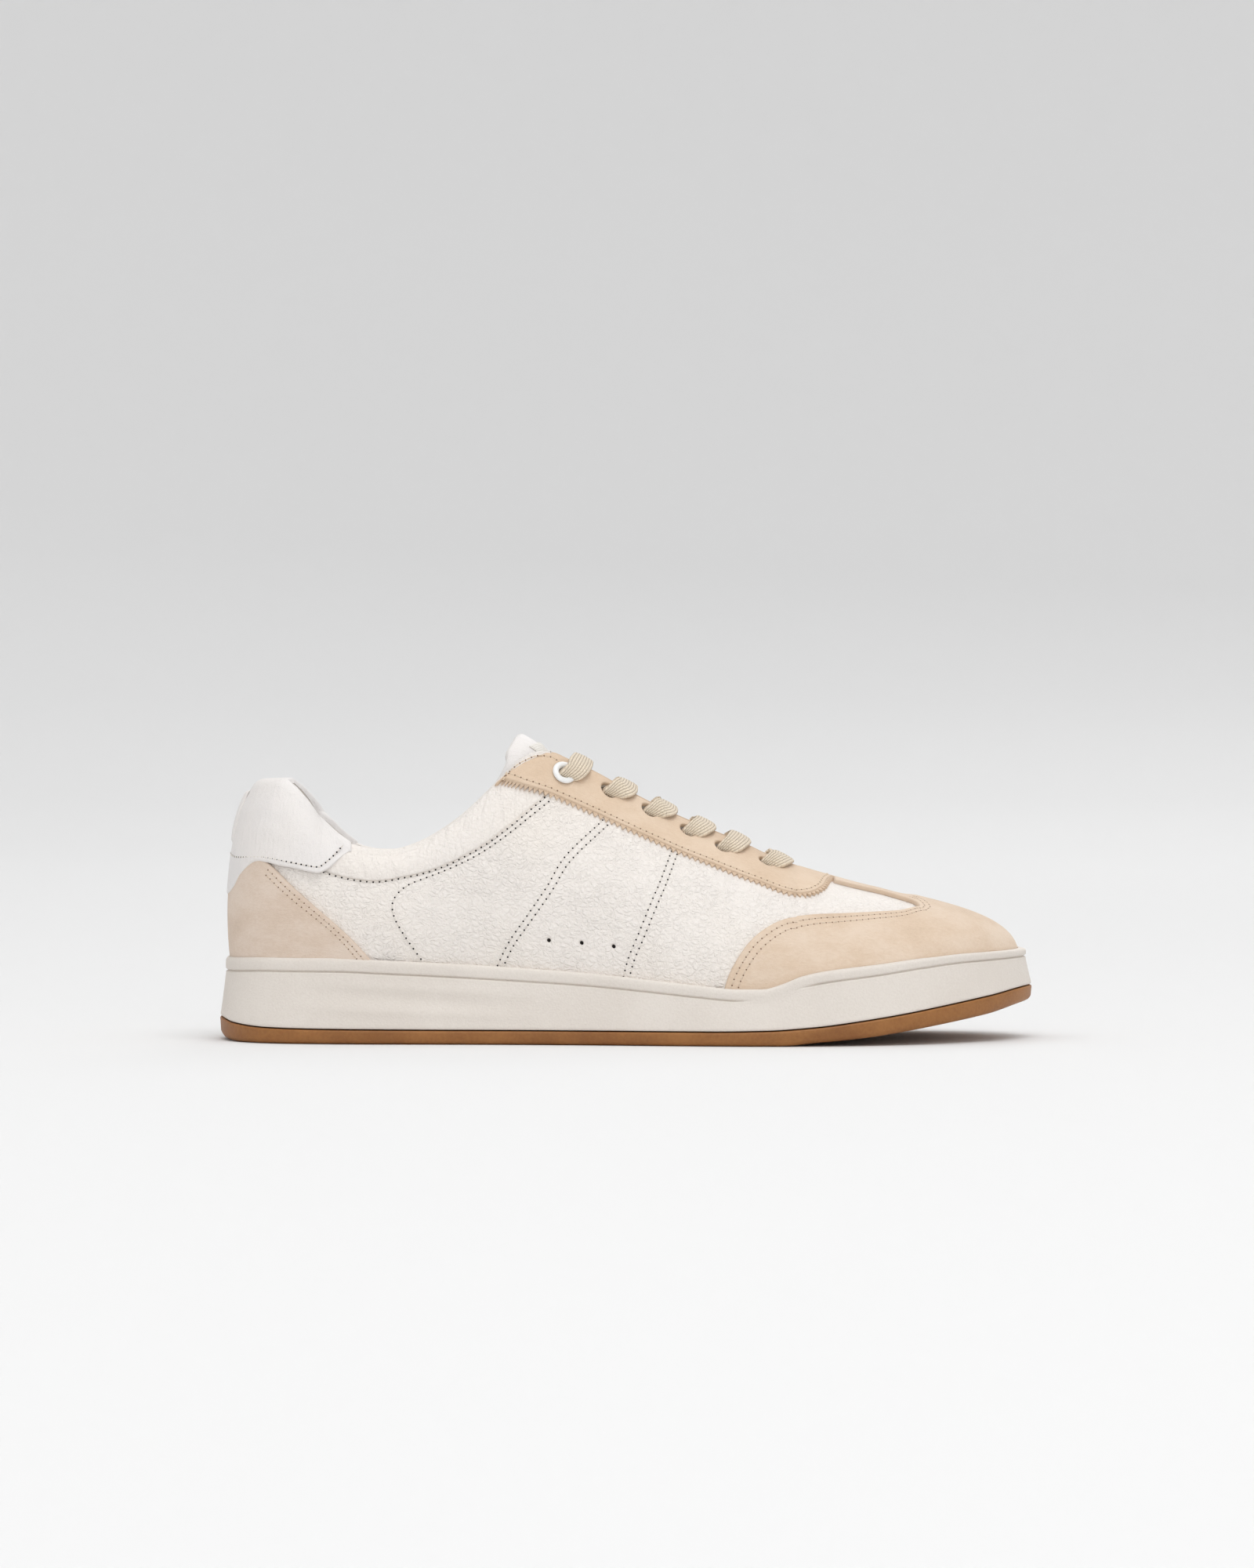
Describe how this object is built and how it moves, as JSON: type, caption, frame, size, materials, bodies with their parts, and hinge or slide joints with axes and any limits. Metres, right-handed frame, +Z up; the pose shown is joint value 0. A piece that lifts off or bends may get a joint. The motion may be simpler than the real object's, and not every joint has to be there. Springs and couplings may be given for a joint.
{
  "type": "court shoe",
  "caption": "Low court shoe with a white pebbled leather upper, sand suede overlays, padded collar, flat laces and a gum rubber outsole.",
  "frame": {"origin": "on the ground at the middle of the shoe's bounding box", "axes": "+X from heel to toe, +Y towards the inner (big toe) side, +Z up"},
  "size_m": [0.2996, 0.1068, 0.1121],
  "materials": {
    "white_leather": "tumbled pebble grain, soft sheen",
    "smooth_leather": "smooth fine grain, soft sheen",
    "suede": "brushed nap, matte",
    "suede_pale": "brushed nap, matte",
    "sole_rubber": "fine granular moulded, matte",
    "gum_rubber": "smooth moulded, satin",
    "foam": "open cell, matte",
    "board": "needled fibre board, matte",
    "lining_cloth": "knitted, matte",
    "brown_lining": "smooth, matte",
    "sock_cloth": "knitted, matte",
    "stiffener": "pressed fibre sheet, matte",
    "ring_white": "gloss enamel",
    "lace_cotton": "flat woven, matte",
    "tip_plastic": "clear coated, glossy",
    "label_cloth": "fine woven, matte"
  },
  "bodies": {
    "shoe": {"outsole": "gum_rubber", "cupsole": "sole_rubber", "midsole": "foam", "strobel_board": "board", "sockliner": "sock_cloth", "quarter_lateral": "white_leather", "quarter_medial": "white_leather", "collar_panel_lateral": "white_leather", "collar_panel_medial": "white_leather", "vamp": "white_leather", "toe_overlay": "suede", "eyestay": "suede", "heel_overlay": "suede_pale", "heel_tab": "smooth_leather", "back_strip": "smooth_leather", "collar_foam": "foam", "collar_lining": "lining_cloth", "vamp_lining": "lining_cloth", "heel_counter": "stiffener", "toe_puff": "stiffener", "eyelet_backing_lateral": "stiffener", "eyelet_backing_medial": "stiffener", "eyelet_ring_lateral": "ring_white", "eyelet_ring_medial": "ring_white", "lace": "lace_cotton", "lace_tip_a": "tip_plastic", "lace_tip_b": "tip_plastic"},
    "tongue": {"tongue_face": "smooth_leather", "tongue_foam": "foam", "tongue_lining": "brown_lining", "tongue_label": "label_cloth"}
  },
  "joints": [
    {"name": "tongue_hinge", "type": "hinge", "parent": "shoe", "child": "tongue", "pos_m": [0.0715, 0, 0.0505], "axis": [0, -1, 0], "range_deg": [0, 9], "stiffness_Nm_per_rad": 0.4, "springref_deg": -20.05}
  ]
}
